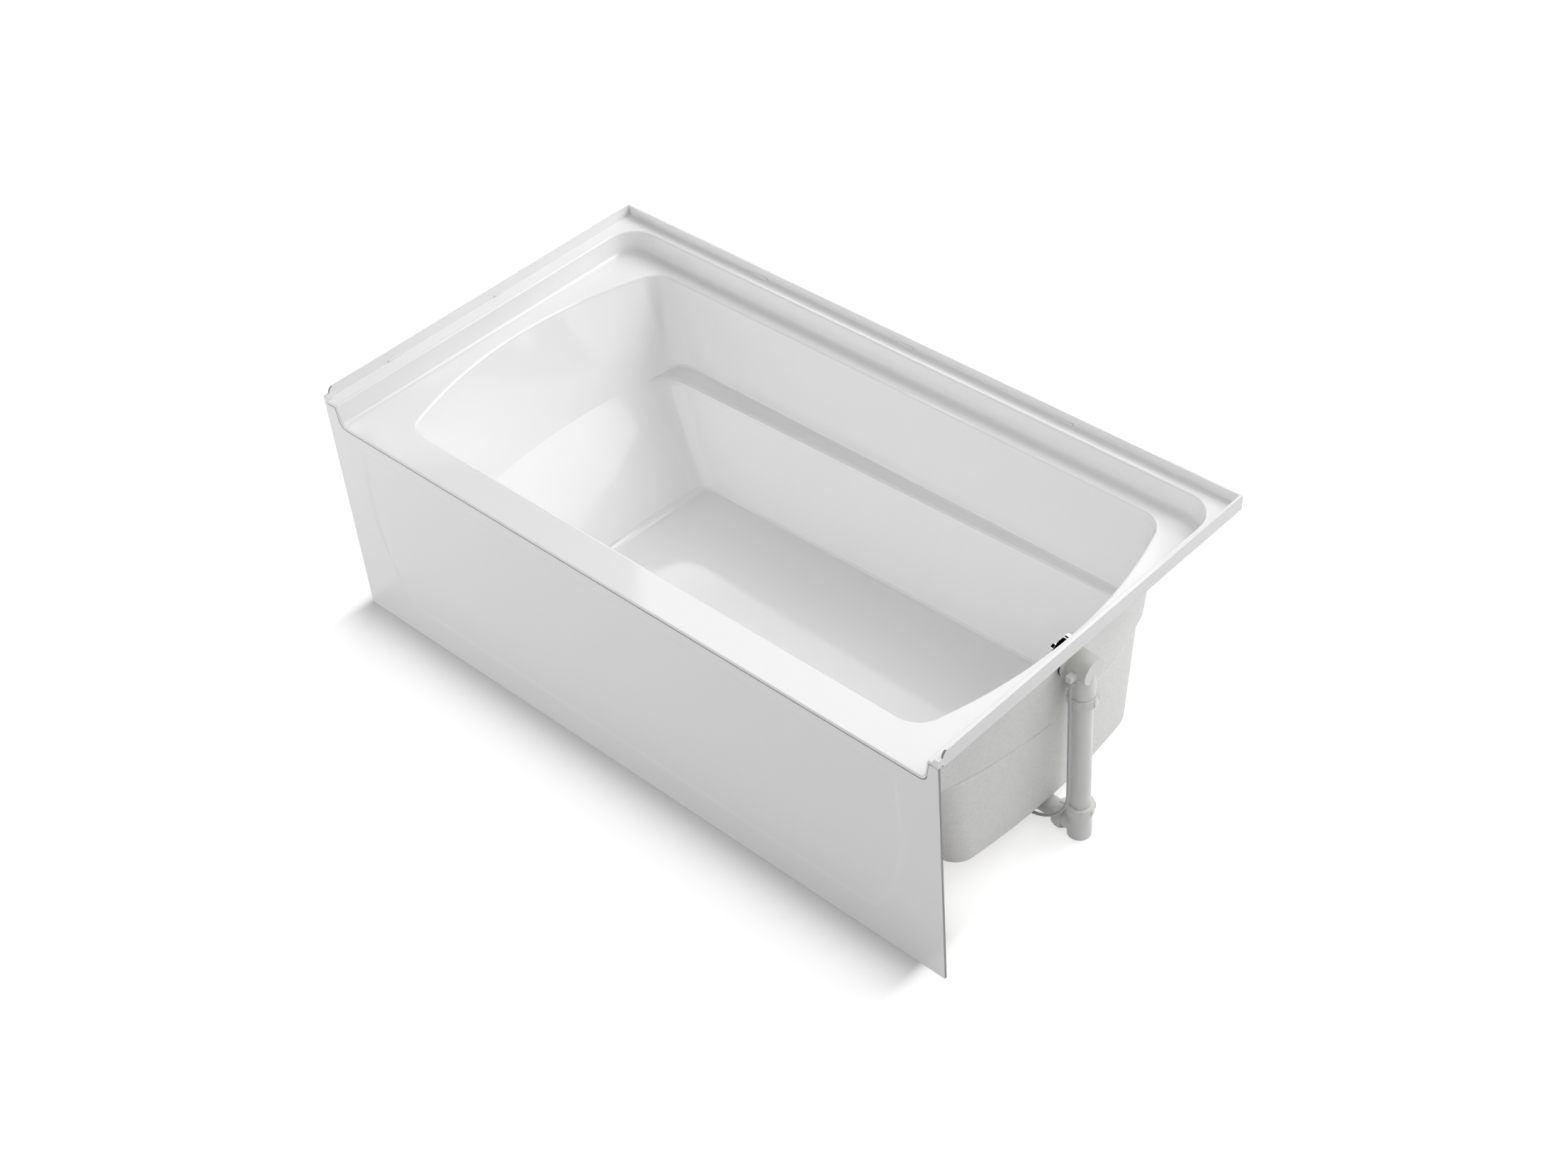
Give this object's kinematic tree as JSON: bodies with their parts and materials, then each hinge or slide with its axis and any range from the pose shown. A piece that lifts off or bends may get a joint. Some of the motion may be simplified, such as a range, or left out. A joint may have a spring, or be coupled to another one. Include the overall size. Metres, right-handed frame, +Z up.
{
  "type": "alcove bathtub",
  "caption": "Alcove bathtub with a bowed basin, armrest ledges, a front apron, a raised tiling flange on three sides, and a waste set with a push knob and a lifting stopper.",
  "frame": {"origin": "on the floor, midway along the length and midway from the apron's face to the back flange's outer face", "axes": "+X along the bath towards the waste end, +Y towards the back wall, +Z up"},
  "size_m": [1.524, 0.8128, 0.5362],
  "materials": {
    "gloss_acrylic": "gloss",
    "board": "matte",
    "timber": "matte",
    "chrome_plate": "polished",
    "steel": "satin",
    "white_plastic": "satin",
    "black_plastic": "satin",
    "clear_washer": "satin",
    "cable_casing": "satin",
    "rubber_seal": "matte"
  },
  "bodies": {
    "bath": {"bath_shell": "gloss_acrylic", "apron_panel": "gloss_acrylic", "base_board": "board", "base_runners": "timber", "apron_bottom_rail": "timber", "apron_braces": "timber", "overflow_cover": "chrome_plate", "knob_guide": "white_plastic", "overflow_retainer": "white_plastic", "overflow_gasket": "rubber_seal", "overflow_body": "white_plastic", "overflow_pipe": "white_plastic", "slip_nuts": "white_plastic", "slip_washers": "clear_washer", "waste_tee": "white_plastic", "waste_arm": "white_plastic", "drain_shoe": "white_plastic", "shoe_gasket": "rubber_seal", "drain_body": "chrome_plate", "drive_cable": "cable_casing", "cable_nuts": "black_plastic"},
    "knob": {"overflow_knob": "chrome_plate", "knob_shaft": "steel"},
    "stopper": {"stopper_cap": "chrome_plate", "stopper_seal": "rubber_seal", "stopper_nut": "steel", "stopper_stem": "steel"},
    "lever": {"lift_lever": "steel"}
  },
  "joints": [
    {"name": "knob_push", "type": "slide", "parent": "bath", "child": "knob", "axis": [0.9962, 0, -0.0872], "range_m": [0, 0.0115]},
    {"name": "stopper_lift", "type": "slide", "parent": "bath", "child": "stopper", "axis": [0, 0, 1], "range_m": [0, 0.0092]},
    {"name": "lever_turn", "type": "hinge", "parent": "bath", "child": "lever", "pos_m": [0.57769, 0.002, 0.02646], "axis": [0, 1, 0], "range_deg": [0, 30]}
  ],
  "couplings": [
    {"joint": "stopper_lift", "follows": "knob_push", "ratio": 0.8},
    {"joint": "lever_turn", "follows": "knob_push", "rad_per_m": 45.5}
  ]
}
